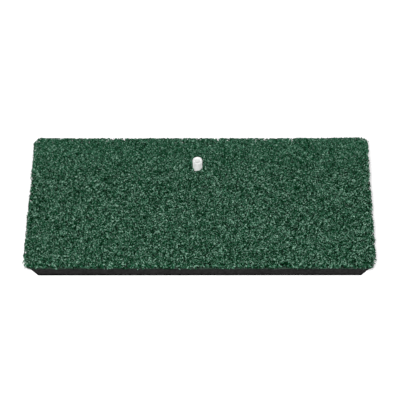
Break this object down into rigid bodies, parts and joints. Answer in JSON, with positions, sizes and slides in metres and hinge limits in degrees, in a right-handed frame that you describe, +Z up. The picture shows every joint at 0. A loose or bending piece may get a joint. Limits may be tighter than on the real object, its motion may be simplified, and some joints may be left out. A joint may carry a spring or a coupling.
{
  "type": "golf hitting mat",
  "caption": "Rectangular practice mat of tufted artificial turf on a foam pad and rubber sole, with an upright rubber tee that bends and pulls out from below.",
  "frame": {"origin": "middle of the underside, on the surface that the mat lies on", "axes": "+X along the long side, +Y across the mat to the long side that the tee stands nearer to, +Z up out of the pile"},
  "size_m": [0.613, 0.308, 0.0505],
  "materials": {
    "turf_green": "matte",
    "cloth_green": "matte",
    "latex_grey": "matte",
    "foam_black": "matte",
    "rubber_black": "satin",
    "tee_white": "satin"
  },
  "bodies": {
    "mat": {"turf_pile": "turf_green", "primary_backing": "cloth_green", "latex_coat": "latex_grey", "foam_pad": "foam_black", "rubber_sole": "rubber_black"},
    "tee_foot": {"tee_foot": "tee_white"},
    "tee_tube": {"tee_tube": "tee_white"}
  },
  "joints": [
    {"name": "tee_removal", "type": "slide", "parent": "mat", "child": "tee_foot", "axis": [0, 0, -1], "range_m": [0, 0.055]},
    {"name": "tee_bend", "type": "hinge", "parent": "tee_foot", "child": "tee_tube", "pos_m": [-0.0053, 0.0785, 0.028], "axis": [0, 1, 0], "range_deg": [-40, 40], "stiffness_Nm_per_rad": 0.5}
  ]
}
